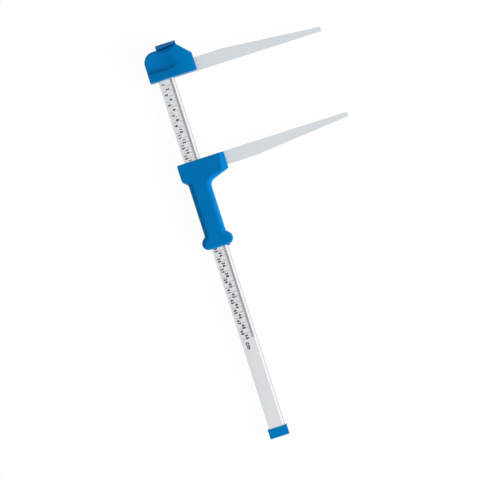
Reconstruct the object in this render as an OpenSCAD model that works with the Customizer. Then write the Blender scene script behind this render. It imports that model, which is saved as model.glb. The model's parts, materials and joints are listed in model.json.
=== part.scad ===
// Log caliper: a flat beam with a centimetre scale, a fixed head, a handle that slides
// along the beam, and two tapered jaws. It lies on its back with the scale upwards.
// Pieces are drawn from the scale's zero: x runs along the jaws, y along the beam
// towards the fixed head, and z up from the table. place() then centres the whole.
// Sizes are in millimetres.

/* [Overall] */
// Depth of the head and the handle, front to back
case_d = 30; // [28:0.5:34]
// Gap between the jaws as shown
opening = 156.5; // [20:0.5:480]

/* [Beam] */
// Width of the beam
beam_w = 31; // [29:0.5:32]
// Thickness of the beam
beam_t = 13; // [12:0.5:15]
// Wall of the hollow beam
beam_wall = 1.6; // [1.2:0.1:2.2]
// Width of the bevels along the beam's edges
beam_bevel_w = 4.8; // [3:0.1:6]
// Depth of these bevels
beam_bevel_d = 2.2; // [1:0.1:2.5]
// Length of the beam below the scale's zero
beam_below = 688.5; // [600:0.5:900]
// Length of the beam that the fixed head holds
beam_in_head = 46; // [36:0.5:48]

/* [Jaws] */
// Reach of the jaws, from the beam's centreline to the tips
jaw_reach = 301; // [220:0.5:400]
// Width of a jaw at its root
jaw_root_w = 25.5; // [22:0.5:27]
// Width of a jaw at its tip
jaw_tip_w = 8.5; // [7.2:0.1:12]
// Start of a jaw's taper, from the beam's centreline
jaw_taper_x = 116; // [90:1:160]
// Thickness of a jaw
jaw_t = 4; // [3:0.1:5]
// Radius of the corners at a jaw's tip
jaw_tip_r = 2.2; // [1:0.1:3.5]
// Radius of the bend where the taper starts
jaw_bend_r = 60; // [20:1:120]
// Radius of the corners at a jaw's tang
tang_r = 2; // [0.5:0.1:3]
// How far the fixed jaw's measuring edge stands proud of the head
fixed_proud = 1.8; // [0.4:0.1:2.4]
// How far the sliding jaw's measuring edge stands proud of the slider
sliding_proud = 0.6; // [0.4:0.1:1.5]
// Distance from the beam's side to a jaw's tang
tang_gap = 5; // [4:0.5:7]

/* [Fixed head] */
// Reach of the head, left of the beam's centreline
head_left = 30; // [26:0.1:32]
// Reach of the head, right of the beam's centreline
head_right = 60; // [56:0.5:70]
// Height of the left shoulder above the measuring plane
head_h = 56.8; // [53:0.1:62]
// Height of the crest, where the right slope starts
crest_h = 58.6; // [57:0.1:63]
// Place of the crest, right of the beam's centreline
crest_x = 37; // [30:0.5:42]
// Height of the head's right end
head_end_h = 35; // [29:0.1:42]
// Radius of the left shoulder
shoulder_r = 21; // [10:0.5:24]
// Roundness of the edge along the left shoulder
shoulder_edge = 4; // [2:0.1:6]
// Radius of the crest
crest_r = 3; // [1:0.1:5]
// Place where the head's faces start to fall to the right end
head_fall_x = 30; // [24:0.5:36]
// Fall of each face at the right end
head_fall = 6; // [2:0.5:7]
// Height of the tab's top above the measuring plane
tab_top = 66.2; // [64:0.1:72]
// Left end of the tab
tab_left = -1.5; // [-4:0.5:8]
// Right end of the tab
tab_right = 37; // [28:0.5:38]
// Depth of the tab at its top
tab_tip_d = 17; // [12:0.5:24]
// Overhang of the tab over its neck
tab_lip = 1.6; // [0.8:0.1:2.5]
// Bevel along the tab's lower edges
tab_edge = 1; // [0.5:0.1:1.5]

/* [Finger scoop] */
// Depth of the scoop in the head's faces
scoop_d = 4.5; // [2:0.1:5]
// Radius of the scoop's lower wall
scoop_r = 9; // [6:0.1:14]
// Height of the scoop's deepest line above the measuring plane
scoop_y = 28; // [26:0.5:32]
// Place where the scoop starts to run out, right of the centreline
scoop_end = 8; // [0:0.5:16]
// Rise of the scoop's floor to the right, in degrees
scoop_run = 9; // [6:0.5:14]
// Rise of the scoop's floor to the crest, in degrees
scoop_rise = 9; // [6:0.5:14]

/* [Handle] */
// Length of the handle from its measuring plane
handle_len = 167; // [150:0.5:190]
// Reach of the slider, left of the beam's centreline
slider_left = 30; // [29:0.1:32]
// Reach of the slider, right of the beam's centreline
slider_right = 60.4; // [56:0.1:70]
// Height of the slider's right end
slider_end_h = 32.2; // [30:0.1:36]
// Height from the measuring plane to the chin at the grip
chin_h = 46.5; // [42:0.1:52]
// Height from the measuring plane to the bump at the left
bump_h = 33.3; // [31:0.1:36]
// Radius of the bump
bump_r = 9; // [6:0.1:10]
// Roundness of the edge along the bump
bump_edge = 5; // [3:0.1:7]
// Fall from the bump to the grip
bump_fall = 8; // [6:0.1:9]
// Width of the grip
grip_w = 41; // [39:0.5:42]
// Roundness of the grip's edges
grip_edge = 12; // [8:0.5:12.5]
// Radius where the grip runs out into the flange and the bump
notch_r = 4.5; // [3:0.1:6]
// Radius where the grip runs out into the chin
chin_r = 15; // [8:0.5:16]
// Width of the flange at the bottom
flange_w = 59; // [57:0.5:60]
// Radius of the flange's round ends
flange_r = 12; // [10:0.1:12.5]
// Roundness of the edge along the flange's top
flange_edge = 8; // [6:0.5:9]
// Roundness of the edge along the flange's foot
foot_edge = 6; // [3:0.5:8]
// Width of the bevel at the right end, at the measuring plane
bevel_w = 7.8; // [6:0.1:10]
// Skew of the bevel, in degrees
bevel_skew = 10; // [0:0.5:12]
// Tilt of the bevel, in degrees
bevel_tilt = 27; // [15:1:35]

/* [Mouldings] */
// Radius of the head's lower left corner
head_corner_r = 2.2; // [1.5:0.1:4]
// Radius of the slider's upper left corner
slider_corner_r = 3.2; // [2:0.1:5]
// Radius of the corners at the right ends
end_r = 2.4; // [1.5:0.1:3]
// Roundness of the edges
edge_r = 2.2; // [1.5:0.1:3]

/* [End cap] */
// Width of the end cap
cap_w = 37; // [34:0.1:39]
// Depth of the end cap
cap_d = 17; // [16.5:0.1:20]
// Length of the end cap
cap_len = 18.3; // [14:0.1:24]
// Thickness of the end cap's floor
cap_floor = 2.8; // [2:0.1:4]
// Radius of the end cap's corners
cap_r = 1.6; // [0.5:0.1:2]
// Length of the plugs that the end cap pushes into the beam
cap_plug = 9; // [8:0.5:11]

/* [Guides] */
// Thickness of a guide shoe
shoe_t = 4; // [3.5:0.1:4.5]
// Height of the shoes and the pads across the beam's side
shoe_h = 8; // [7:0.1:8.5]
// Length of a guide shoe
shoe_len = 26; // [20:0.5:28]
// Distance from the measuring plane to the upper shoe
shoe_inset = 6; // [5:0.1:7]
// Length of the lower shoe's lip below the flange
shoe_lip = 2; // [1:0.1:3]
// Height of the lip, across the beam's side
lip_h = 5; // [3:0.1:6]
// Travel of a shoe away from the beam
shoe_travel = 0.4; // [0.2:0.05:0.5]
// Thickness of a glide pad
pad_t = 2.5; // [2:0.1:2.8]
// Length of a glide pad
pad_len = 20; // [14:0.5:20]
// Distance from the handle's ends to its pads
pad_inset = 3; // [2:0.1:4]
// Lead-in chamfer on the shoes and pads
lead = 0.8; // [0.3:0.1:1.2]

/* [Adjusting screws] */
// Radius of an adjusting screw
adjuster_r = 3; // [2.5:0.1:3.2]
// Length of an adjusting screw
adjuster_len = 8; // [7:0.1:8]
// Outer radius of an adjusting screw's insert
bush_r = 4.4; // [4.1:0.1:4.6]
// Length of the insert
bush_len = 5.5; // [4:0.1:6]
// Wall between a shoe's room and the insert
bush_wall = 1.2; // [1:0.1:1.5]
// Distance of the lower adjusting screw from its shoe's middle, towards the flange
adjuster_drop = 2.4; // [1.5:0.1:3]

/* [Fasteners] */
// Radius of a case screw
screw_r = 1.9; // [1.5:0.1:2.2]
// Radius of a case screw's head
screw_head_r = 3.4; // [3:0.1:3.6]
// Height of a case screw's head
screw_head_h = 2.4; // [1.8:0.1:2.6]
// Depth of a case screw's seat below the back
screw_seat = 5; // [4.6:0.1:5.4]
// Length of a case screw's shank
screw_len = 20; // [18:0.5:20.5]
// Distance from the measuring plane to the head's first screws
head_screw_y = 8; // [7:0.5:9]
// Distance between the head's screws, along the beam
head_screw_pitch = 9; // [8:0.5:10]
// Distance of the handle's upper left screw from the shoe's corner
bump_screw_in = 4.6; // [4:0.1:5]
// Distance of the handle's right screw from the beam's side
chin_screw_x = 12; // [10:0.5:14]
// Distance of that screw below the slider's right end
chin_screw_y = 2; // [1:0.5:3]
// Distance of the handle's lower screw from the flange's left end
flange_screw_x = 7.5; // [7:0.1:8]
// Radius of a jaw bolt
bolt_r = 2.5; // [2:0.1:2.6]
// Radius of a jaw bolt's head
bolt_head_r = 4.2; // [4:0.1:4.6]
// Height of a jaw bolt's head
bolt_head_h = 3; // [2.4:0.1:3.4]
// Depth of a jaw bolt's seat below the back
bolt_seat = 7.5; // [7:0.1:8]
// Distance from a jaw's tang end to its first bolt
bolt_edge = 9; // [7:0.5:10]
// Distance between the fixed jaw's bolts
fixed_bolt_pitch = 18; // [14:0.5:20]
// Distance between the sliding jaw's bolts
sliding_bolt_pitch = 13; // [11:0.5:14]
// Outer radius of a jaw bolt's insert
nut_r = 3.6; // [3.4:0.1:4]
// Length of a jaw bolt's insert
nut_len = 7; // [5:0.1:7.5]
// Radius of the end cap's screw
cap_screw_r = 1.4; // [1.1:0.1:1.5]
// Radius of the end cap screw's head
cap_screw_head_r = 2.6; // [2.2:0.1:2.8]
// Height of the end cap screw's head
cap_screw_head_h = 1.2; // [1:0.1:1.4]
// Depth of the end cap screw's seat
cap_screw_sink = 1.4; // [1.3:0.1:1.6]
// Length of the end cap screw's shank
cap_screw_len = 6; // [5:0.1:7]

/* [Fits] */
// Clearance between pieces that are fastened together
seat_fit = 0.1; // [0.05:0.05:0.15]
// Clearance of a screw or bolt in its hole
screw_fit = 0.05; // [0.03:0.01:0.1]
// Clearance between the slider's passage and the beam
run_fit = 0.25; // [0.15:0.05:0.3]
// Clearance of the shoes and pads from the beam
glide_fit = 0.05; // [0.03:0.01:0.1]
// Room around a screw's head
head_room = 0.3; // [0.2:0.05:0.5]

/* [Hidden] */
$fn = 64;

BLUE = [0.0, 0.42, 0.7];
DARK_BLUE = [0.03, 0.16, 0.36];
ALUMINIUM = [0.82, 0.84, 0.85];
JAW_GREY = [0.8, 0.83, 0.85];
STEEL = [0.55, 0.56, 0.58];
BRASS = [0.78, 0.62, 0.3];
ACETAL = [0.93, 0.93, 0.9];

// Overlap by which a cut runs past the face that it opens
cut = 1;
// A length that is longer than any piece
far = 1000;
// Width and depth of a hexagon socket, as shares of the screw's radius and of its head
socket_share = 0.75;
socket_depth = 0.6;
// A quarter turn, and the turn between two points on a rounded corner, in degrees
right_angle = 90;
arc_step = 11.25;
// Turn of a moulding's rolled edge before its flat face takes over, in degrees
edge_turn = 75;
// Steps in that turn
edge_steps = 5;

mid = case_d / 2;
beam_side = beam_w / 2;
tang_x = beam_side + tang_gap;
grip_side = grip_w / 2;
flange_side = flange_w / 2;
web_t = beam_wall;

// The flange's ends start 45 degrees out from the grip and then turn down, and a short
// straight part between the two turns keeps their points apart
flange_slant = 45;
turn_gap = 0.25;
flange_end_y = -handle_len + turn_gap + flange_r * (1 + tan(flange_slant / 2));
flange_notch_y = flange_end_y + flange_side - grip_side;

// Corners of the two mouldings: x, y, radius in plan, roundness of the edge
head_corners = [
    [-head_left, fixed_proud, head_corner_r, edge_r],
    [head_right, fixed_proud, end_r, edge_r],
    [head_right, head_end_h, end_r, edge_r],
    [crest_x, crest_h, crest_r, edge_r],
    [-head_left, head_h, shoulder_r, shoulder_edge]
];
slider_corners = [
    [-slider_left, -sliding_proud, slider_corner_r, edge_r],
    [-slider_left, -bump_h, bump_r, bump_edge],
    [-grip_side, -bump_h - bump_fall, notch_r, grip_edge],
    [-grip_side, flange_notch_y, notch_r, grip_edge],
    [-flange_side, flange_end_y, flange_r, flange_edge],
    [-flange_side, -handle_len, flange_r, foot_edge],
    [flange_side, -handle_len, flange_r, foot_edge],
    [flange_side, flange_end_y, flange_r, flange_edge],
    [grip_side, flange_notch_y, notch_r, grip_edge],
    [grip_side, -chin_h, chin_r, grip_edge],
    [slider_right, -slider_end_h, end_r, edge_r],
    [slider_right, -sliding_proud, end_r, edge_r]
];

// Places of the fasteners
head_screw_x = beam_side / 2;
head_screw_ys = [head_screw_y, head_screw_y + head_screw_pitch];
fixed_bolt_xs = [tang_x + bolt_edge, tang_x + bolt_edge + fixed_bolt_pitch];
sliding_bolt_xs = [tang_x + bolt_edge, tang_x + bolt_edge + sliding_bolt_pitch];
bolt_y = jaw_root_w / 2;
handle_screw_spots = [
    [-slider_left + bump_screw_in, -shoe_inset - shoe_len + bump_screw_in],
    [beam_side + chin_screw_x, -slider_end_h - chin_screw_y],
    [-flange_side + flange_screw_x, -handle_len + flange_r]
];
bolt_len = mid + jaw_t / 2 + seat_fit + nut_len - bolt_seat;

// Places of the guides, measured outwards from the beam's centreline
shoe_face = beam_side + glide_fit;
shoe_back = shoe_face + shoe_t;
bush_x = shoe_back + shoe_travel + bush_wall;
upper_adjuster_y = -shoe_inset - shoe_len / 2;
lower_shoe_end = -handle_len + shoe_lip;
lower_adjuster_y = lower_shoe_end + shoe_len / 2 - adjuster_drop;
upper_pad_y = -pad_inset;
lower_pad_y = -handle_len + pad_inset + pad_len;

// Plan of the rounded corner i: x, y, outward direction, roundness of the edge
function unit(v) = v / norm(v);
function plan(p) = [p[0], p[1]];
function turned(v, a) = [v.x * cos(a) - v.y * sin(a), v.x * sin(a) + v.y * cos(a)];
function corner_points(c, i) =
    let (
        p = plan(c[i]),
        d1 = unit(p - plan(c[(i + len(c) - 1) % len(c)])),
        d2 = unit(plan(c[(i + 1) % len(c)]) - p),
        turn = atan2(cross(d1, d2), d1 * d2),
        bend = sign(turn) * c[i][2],
        out = [d1.y, -d1.x],
        centre = p - d1 * abs(bend) * tan(abs(turn) / 2) - bend * out,
        steps = max(1, ceil(abs(turn) / arc_step))
    )
    [for (k = [0 : steps])
        let (n = turned(out, turn * k / steps))
        [each (centre + bend * n), each n, c[i][3]]];
function outline(c) = [for (i = [0 : len(c) - 1]) each corner_points(c, i)];

// A point of the outline, rolled over the edge by an angle towards the face at mid height
function rolled(p, angle) =
    let (inset = p[4] * (1 - cos(angle)), fall = p[4] * (1 - sin(angle)))
    [p[0] - p[2] * inset, p[1] - p[3] * inset, mid - fall];
// The same point once it has crossed the face
function crossed(p) = [p[0] - p[2] * p[4], p[1] - p[3] * p[4], mid + cut];

// Half of a moulding: upright walls on the outline that roll over to a flat face.
// The skin runs past both flat faces, and the slab between them trims it
module half_moulding(corners) {
    points = outline(corners);
    n = len(points);
    rings = [
        [for (p = points) [p[0], p[1], -cut]],
        for (k = [0 : edge_steps]) [for (p = points) rolled(p, edge_turn * k / edge_steps)],
        [for (p = points) crossed(p)]
    ];
    top = len(rings) - 1;
    floor_face = [for (i = [0 : n - 1]) i];
    top_face = [for (i = [n - 1 : -1 : 0]) top * n + i];
    walls = [
        for (k = [0 : top - 1], i = [0 : n - 1])
        let (a = k * n + i, b = k * n + (i + 1) % n)
        each [[a, a + n, b + n], [a, b + n, b]]
    ];
    intersection() {
        polyhedron(points = [for (ring = rings) each ring], faces = [floor_face, top_face, each walls]);
        translate([-far / 2, -far / 2, 0]) cube([far, far, mid]);
    }
}

// The two halves meet at mid depth
module front_half() {
    translate([0, 0, mid]) children();
}
module rear_half() {
    translate([0, 0, mid]) mirror([0, 0, 1]) children();
}

// The whole model, centred on its own box and standing on the table
module place() {
    left = max(head_left, slider_left, flange_side);
    low = beam_below + cap_floor;
    translate([(left - jaw_reach) / 2, (low - tab_top) / 2, 0]) children();
}
// Pieces that slide with the handle
module at_slider() {
    translate([0, -opening, 0]) children();
}

// A straight box room: x range, y range and half height about mid depth
module room(x, y, half_h) {
    translate([x[0], y[0], mid - half_h]) cube([x[1] - x[0], y[1] - y[0], 2 * half_h]);
}
// Everything above the plane z = 0, from a little left of the y axis to the right
module above_plane() {
    translate([-cut, -far / 2, 0]) cube(far);
}
// The beam's section, grown by a clearance: flat faces, wide bevels and narrow sides
bevel_angle = atan(beam_bevel_d / beam_bevel_w);
function beam_outline(fit) =
    let (
        face_x = beam_side - beam_bevel_w + fit * tan(bevel_angle / 2),
        face_z = beam_t / 2 + fit,
        side_x = beam_side + fit,
        side_z = beam_t / 2 - beam_bevel_d + fit * tan((right_angle - bevel_angle) / 2)
    )
    [
        [-face_x, -face_z], [face_x, -face_z], [side_x, -side_z], [side_x, side_z],
        [face_x, face_z], [-face_x, face_z], [-side_x, side_z], [-side_x, -side_z]
    ];
// Room for the beam, with a clearance all round
module beam_room(y, fit) {
    translate([0, y[1], mid]) rotate([90, 0, 0])
        linear_extrude(y[1] - y[0]) polygon(beam_outline(fit));
}
// A socket screw that points up, with its head below the seat at z = 0
module socket_screw(r, len, head_r, head_h) {
    difference() {
        union() {
            cylinder(r = r, h = len);
            translate([0, 0, -head_h]) cylinder(r = head_r, h = head_h);
        }
        translate([0, 0, -head_h - cut])
            cylinder(r = r * socket_share, h = cut + head_h * socket_depth, $fn = 6);
    }
}
// The hole for such a screw from the back, with its counterbore
module screw_hole(r, seat, end, head_r) {
    translate([0, 0, -cut]) cylinder(r = r + screw_fit, h = end + cut);
    translate([0, 0, -cut]) cylinder(r = head_r + head_room, h = seat + cut);
}
module case_screw() {
    translate([0, 0, screw_seat]) socket_screw(screw_r, screw_len, screw_head_r, screw_head_h);
}
module case_screw_hole() {
    screw_hole(screw_r, screw_seat, screw_seat + screw_len + seat_fit, screw_head_r);
}
module jaw_bolt() {
    translate([0, 0, bolt_seat]) socket_screw(bolt_r, bolt_len, bolt_head_r, bolt_head_h);
}
module jaw_bolt_hole() {
    screw_hole(bolt_r, bolt_seat, bolt_seat + bolt_len + seat_fit, bolt_head_r);
}
// A brass insert above a jaw, and the hole that it is set in
module jaw_insert() {
    translate([0, 0, mid + jaw_t / 2 + seat_fit]) difference() {
        cylinder(r = nut_r, h = nut_len);
        translate([0, 0, -cut]) cylinder(r = bolt_r + screw_fit, h = nut_len + 2 * cut);
    }
}
module jaw_insert_hole() {
    translate([0, 0, mid]) cylinder(r = nut_r + screw_fit, h = jaw_t / 2 + 2 * seat_fit + nut_len);
}

module at_head_screws() {
    for (x = [-head_screw_x, head_screw_x], y = head_screw_ys) translate([x, y, 0]) children();
}
module at_fixed_bolts() {
    for (x = fixed_bolt_xs) translate([x, bolt_y, 0]) children();
}
module at_sliding_bolts() {
    for (x = sliding_bolt_xs) translate([x, -bolt_y, 0]) children();
}
module at_handle_screws() {
    for (spot = handle_screw_spots) translate(spot) children();
}

// The beam: a hollow section with a web along its middle
module beam_section() {
    difference() {
        polygon(beam_outline(0));
        for (side = [-1, 1]) translate([side * cell_x, 0]) square([cell_w, cell_h], center = true);
    }
}
// The beam's two hollow cells
cell_end = beam_side - beam_bevel_w;
cell_w = cell_end - web_t / 2;
cell_h = beam_t - 2 * beam_wall;
cell_x = (cell_end + web_t / 2) / 2;
cap_screw_y = -beam_below + cap_plug / 2;

module beam() {
    color(ALUMINIUM) place() difference() {
        translate([0, beam_in_head, mid]) rotate([90, 0, 0])
            linear_extrude(beam_in_head + beam_below) beam_section();
        at_head_screws() cylinder(r = screw_r + screw_fit, h = case_d);
        translate([cell_x, cap_screw_y, 0]) cylinder(r = cap_screw_r + screw_fit, h = mid);
    }
}

// A rectangle with exact round corners
module rounded_plate(w, h, r) {
    square([w - 2 * r, h], center = true);
    square([w, h - 2 * r], center = true);
    for (x = [-1, 1], y = [-1, 1]) translate([x * (w / 2 - r), y * (h / 2 - r)]) circle(r);
}

cap_bottom = -beam_below - cap_floor;
cap_screw_seat = mid - cap_d / 2 + cap_screw_sink;
cap_screw_end = cap_screw_seat + cap_screw_len + seat_fit;

module end_cap() {
    color(BLUE) place() difference() {
        intersection() {
            translate([0, cap_bottom, mid]) rotate([-90, 0, 0])
                linear_extrude(cap_len) rounded_plate(cap_w, cap_d, cap_r);
            translate([0, cap_bottom + cap_len, 0])
                linear_extrude(case_d) rounded_plate(cap_w, 2 * cap_len, cap_r);
        }
        difference() {
            beam_room([-beam_below, 0], seat_fit);
            for (side = [-1, 1]) translate([side * cell_x, 0, 0]) room(
                [-1, 1] * (cell_w / 2 - seat_fit),
                [-beam_below - cut, -beam_below + cap_plug], cell_h / 2 - seat_fit
            );
        }
        translate([cell_x, cap_screw_y, 0])
            screw_hole(cap_screw_r, cap_screw_seat, cap_screw_end, cap_screw_head_r);
    }
}
module end_cap_screw() {
    color(STEEL) place() translate([cell_x, cap_screw_y, cap_screw_seat])
        socket_screw(cap_screw_r, cap_screw_len, cap_screw_head_r, cap_screw_head_h);
}

// The fixed head's half: rolled edges, a finger scoop, faces that fall to the right, and a tab
// The scoop is a trough with a floor that rises to the crest. Both run out to the right
module finger_scoop() {
    turn_x = scoop_r * tan(scoop_run / 2);
    translate([scoop_end, scoop_y, mid - scoop_d + scoop_r]) rotate([scoop_rise, 0, 0]) {
        sphere(scoop_r);
        rotate([0, -90, 0]) cylinder(r = scoop_r, h = far);
        rotate([0, 90 - scoop_run, 0]) cylinder(r = scoop_r, h = far);
        translate([-far, 0, -scoop_r]) cube([far + turn_x, far, far]);
        rotate([0, -scoop_run, 0]) translate([-turn_x, 0, -scoop_r]) cube(far);
    }
}
module head_fall_cut() {
    translate([head_fall_x, 0, mid]) rotate([0, atan(head_fall / (head_right - head_fall_x)), 0])
        above_plane();
}
module head_tab() {
    base = crest_h + tab_lip / 2;
    neck_low = head_h - shoulder_r / 2;
    neck_d = mid - scoop_d - tab_lip;
    translate([tab_left, 0, 0]) rotate([90, 0, 90]) linear_extrude(tab_right - tab_left)
        polygon([
            [base, 0], [tab_top, 0], [tab_top, tab_tip_d / 2],
            [base + tab_edge, mid], [base, mid - tab_edge]
        ]);
    translate([tab_left + tab_lip, neck_low, 0])
        cube([tab_right - tab_left - tab_lip, base - neck_low, neck_d]);
}
module head_half() {
    difference() {
        half_moulding(head_corners);
        finger_scoop();
        head_fall_cut();
    }
    head_tab();
}
module head_rooms() {
    beam_room([-cut, beam_in_head + seat_fit], seat_fit);
    room([tang_x - seat_fit, far], [-cut, jaw_root_w + seat_fit], jaw_t / 2 + seat_fit);
    at_head_screws() case_screw_hole();
    at_fixed_bolts() jaw_bolt_hole();
}
module head_front_shell() {
    color(BLUE) place() difference() {
        front_half() head_half();
        head_rooms();
        at_fixed_bolts() jaw_insert_hole();
    }
}
module head_rear_shell() {
    color(BLUE) place() difference() {
        rear_half() head_half();
        head_rooms();
    }
}
module head_screws() {
    color(STEEL) place() at_head_screws() case_screw();
}

// A jaw: straight at its root, then tapered to a rounded tip. Its measuring edge is at y = 0
module jaw_plate() {
    corners = [
        [tang_x, 0, tang_r, 0], [jaw_reach, 0, jaw_tip_r, 0], [jaw_reach, jaw_tip_w, jaw_tip_r, 0],
        [jaw_taper_x, jaw_root_w, jaw_bend_r, 0], [tang_x, jaw_root_w, tang_r, 0]
    ];
    translate([0, 0, mid - jaw_t / 2]) linear_extrude(jaw_t)
        polygon([for (p = outline(corners)) plan(p)]);
}
module fixed_jaw() {
    color(JAW_GREY) place() difference() {
        jaw_plate();
        at_fixed_bolts() cylinder(r = bolt_r + screw_fit, h = case_d);
    }
}
module fixed_jaw_bolts() {
    color(STEEL) place() at_fixed_bolts() jaw_bolt();
}
module fixed_jaw_inserts() {
    color(BRASS) place() at_fixed_bolts() jaw_insert();
}

// The handle's half: slider head, rounded grip and flange in one moulding
module handle_half() {
    difference() {
        half_moulding(slider_corners);
        translate([slider_right - bevel_w, 0, mid]) rotate([0, 0, -bevel_skew]) rotate([0, bevel_tilt, 0])
            above_plane();
    }
}
// Rooms on the right of the beam for pads and shoes, and on the left by mirroring
module shoe_room(y) {
    room([0, shoe_back + shoe_travel + glide_fit], y + [-1, 1] * seat_fit, shoe_h / 2 + seat_fit);
}
module pad_room(y) {
    room([0, shoe_face + pad_t + seat_fit], y + [-1, 1] * seat_fit, shoe_h / 2 + seat_fit);
}
module bush_room(y) {
    translate([0, y, mid]) rotate([0, 90, 0]) {
        cylinder(r = adjuster_r + head_room, h = far);
        translate([0, 0, bush_x]) cylinder(r = bush_r + screw_fit, h = bush_len);
    }
}
upper_shoe_span = [-shoe_inset - shoe_len, -shoe_inset];
lower_shoe_span = [lower_shoe_end, lower_shoe_end + shoe_len - shoe_lip];
upper_pad_span = [upper_pad_y - pad_len, upper_pad_y];
lower_pad_span = [lower_pad_y - pad_len, lower_pad_y];

module handle_rooms() {
    beam_room([-far, far], run_fit);
    room([tang_x - seat_fit, far], [-jaw_root_w - seat_fit, cut], jaw_t / 2 + seat_fit);
    at_handle_screws() case_screw_hole();
    at_sliding_bolts() jaw_bolt_hole();
    pad_room(upper_pad_span);
    mirror([1, 0, 0]) pad_room(lower_pad_span);
    mirror([1, 0, 0]) shoe_room(upper_shoe_span);
    mirror([1, 0, 0]) bush_room(upper_adjuster_y);
    shoe_room(lower_shoe_span);
    bush_room(lower_adjuster_y);
    room([0, shoe_back + shoe_travel + glide_fit], [-far, lower_shoe_end + cut], lip_h / 2 + seat_fit);
}
module handle_front_shell() {
    color(BLUE) place() at_slider() difference() {
        front_half() handle_half();
        handle_rooms();
        at_sliding_bolts() jaw_insert_hole();
    }
}
module handle_rear_shell() {
    color(BLUE) place() at_slider() difference() {
        rear_half() handle_half();
        handle_rooms();
    }
}
module handle_screws() {
    color(STEEL) place() at_slider() at_handle_screws() case_screw();
}

module sliding_jaw() {
    color(JAW_GREY) place() at_slider() difference() {
        mirror([0, 1, 0]) jaw_plate();
        at_sliding_bolts() cylinder(r = bolt_r + screw_fit, h = case_d);
    }
}
module sliding_jaw_bolts() {
    color(STEEL) place() at_slider() at_sliding_bolts() jaw_bolt();
}
module sliding_jaw_inserts() {
    color(BRASS) place() at_slider() at_sliding_bolts() jaw_insert();
}

// A block that glides on the beam's right side, with lead-in chamfers
module glide_block(y, t, h) {
    translate([shoe_face, 0, mid - h / 2]) linear_extrude(h) polygon([
        [t, y[0]], [t, y[1]], [lead, y[1]], [0, y[1] - lead], [0, y[0] + lead], [lead, y[0]]
    ]);
}
module glide_pads() {
    color(ACETAL) place() at_slider() {
        glide_block(upper_pad_span, pad_t, shoe_h);
        mirror([1, 0, 0]) glide_block(lower_pad_span, pad_t, shoe_h);
    }
}
module upper_shoe() {
    color(DARK_BLUE) place() at_slider() mirror([1, 0, 0]) glide_block(upper_shoe_span, shoe_t, shoe_h);
}
module lower_shoe() {
    color(DARK_BLUE) place() at_slider() {
        glide_block(lower_shoe_span, shoe_t, shoe_h);
        glide_block([-handle_len - shoe_lip, lower_shoe_end + shoe_len / 2], shoe_t, lip_h);
    }
}

// An adjusting screw behind a shoe, and the brass insert that it turns in
module bush(y) {
    translate([bush_x, y, mid]) rotate([0, 90, 0]) difference() {
        cylinder(r = bush_r, h = bush_len);
        translate([0, 0, -cut]) cylinder(r = adjuster_r + screw_fit, h = bush_len + 2 * cut);
    }
}
module adjuster(y) {
    translate([shoe_back + glide_fit, y, mid]) rotate([0, 90, 0]) difference() {
        cylinder(r = adjuster_r, h = adjuster_len);
        translate([0, 0, adjuster_len * socket_depth])
            cylinder(r = adjuster_r * socket_depth, h = adjuster_len, $fn = 6);
    }
}
module upper_bush() {
    color(BRASS) place() at_slider() mirror([1, 0, 0]) bush(upper_adjuster_y);
}
module lower_bush() {
    color(BRASS) place() at_slider() bush(lower_adjuster_y);
}
module upper_adjuster() {
    color(STEEL) place() at_slider() mirror([1, 0, 0]) adjuster(upper_adjuster_y);
}
module lower_adjuster() {
    color(STEEL) place() at_slider() adjuster(lower_adjuster_y);
}

beam();
end_cap();
end_cap_screw();
head_front_shell();
head_rear_shell();
head_screws();
fixed_jaw();
fixed_jaw_bolts();
fixed_jaw_inserts();
handle_front_shell();
handle_rear_shell();
handle_screws();
sliding_jaw();
sliding_jaw_bolts();
sliding_jaw_inserts();
glide_pads();
upper_shoe();
lower_shoe();
upper_bush();
lower_bush();
upper_adjuster();
lower_adjuster();
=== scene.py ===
# %% [markdown]
# # A log caliper
# Foresters measure the diameter of logs and trees with this tool. A flat metal beam carries a
# centimetre scale. A blue head sits on the beam's upper end with one long jaw, and a blue handle
# with a second jaw slides along the beam. This lesson takes the solid model of the tool, which
# holds every size and joint, and gives it the look of the real thing: softly moulded plastic,
# anodised metal and a printed scale.

# %% Load the solid model
import json
import math

import bmesh
import bpy
from mathutils import Matrix, Vector


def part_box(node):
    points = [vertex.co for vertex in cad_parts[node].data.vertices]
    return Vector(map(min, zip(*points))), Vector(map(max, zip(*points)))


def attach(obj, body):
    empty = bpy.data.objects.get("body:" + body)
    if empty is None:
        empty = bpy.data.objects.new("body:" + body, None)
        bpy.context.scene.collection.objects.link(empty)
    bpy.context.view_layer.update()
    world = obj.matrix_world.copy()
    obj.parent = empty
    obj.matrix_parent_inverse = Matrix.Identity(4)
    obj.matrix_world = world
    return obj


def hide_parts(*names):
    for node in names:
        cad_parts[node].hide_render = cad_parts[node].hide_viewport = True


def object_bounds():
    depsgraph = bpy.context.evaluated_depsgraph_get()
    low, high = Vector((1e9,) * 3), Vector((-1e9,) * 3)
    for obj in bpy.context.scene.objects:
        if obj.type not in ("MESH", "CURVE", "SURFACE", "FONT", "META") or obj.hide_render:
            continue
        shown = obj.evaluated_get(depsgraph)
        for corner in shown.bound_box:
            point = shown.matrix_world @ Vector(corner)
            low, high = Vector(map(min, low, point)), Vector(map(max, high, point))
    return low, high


MM = 0.001


def in_mm(size):
    """A size in metres, as rounded millimetres to print."""
    return [round(side / MM, 1) for side in size]


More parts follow.
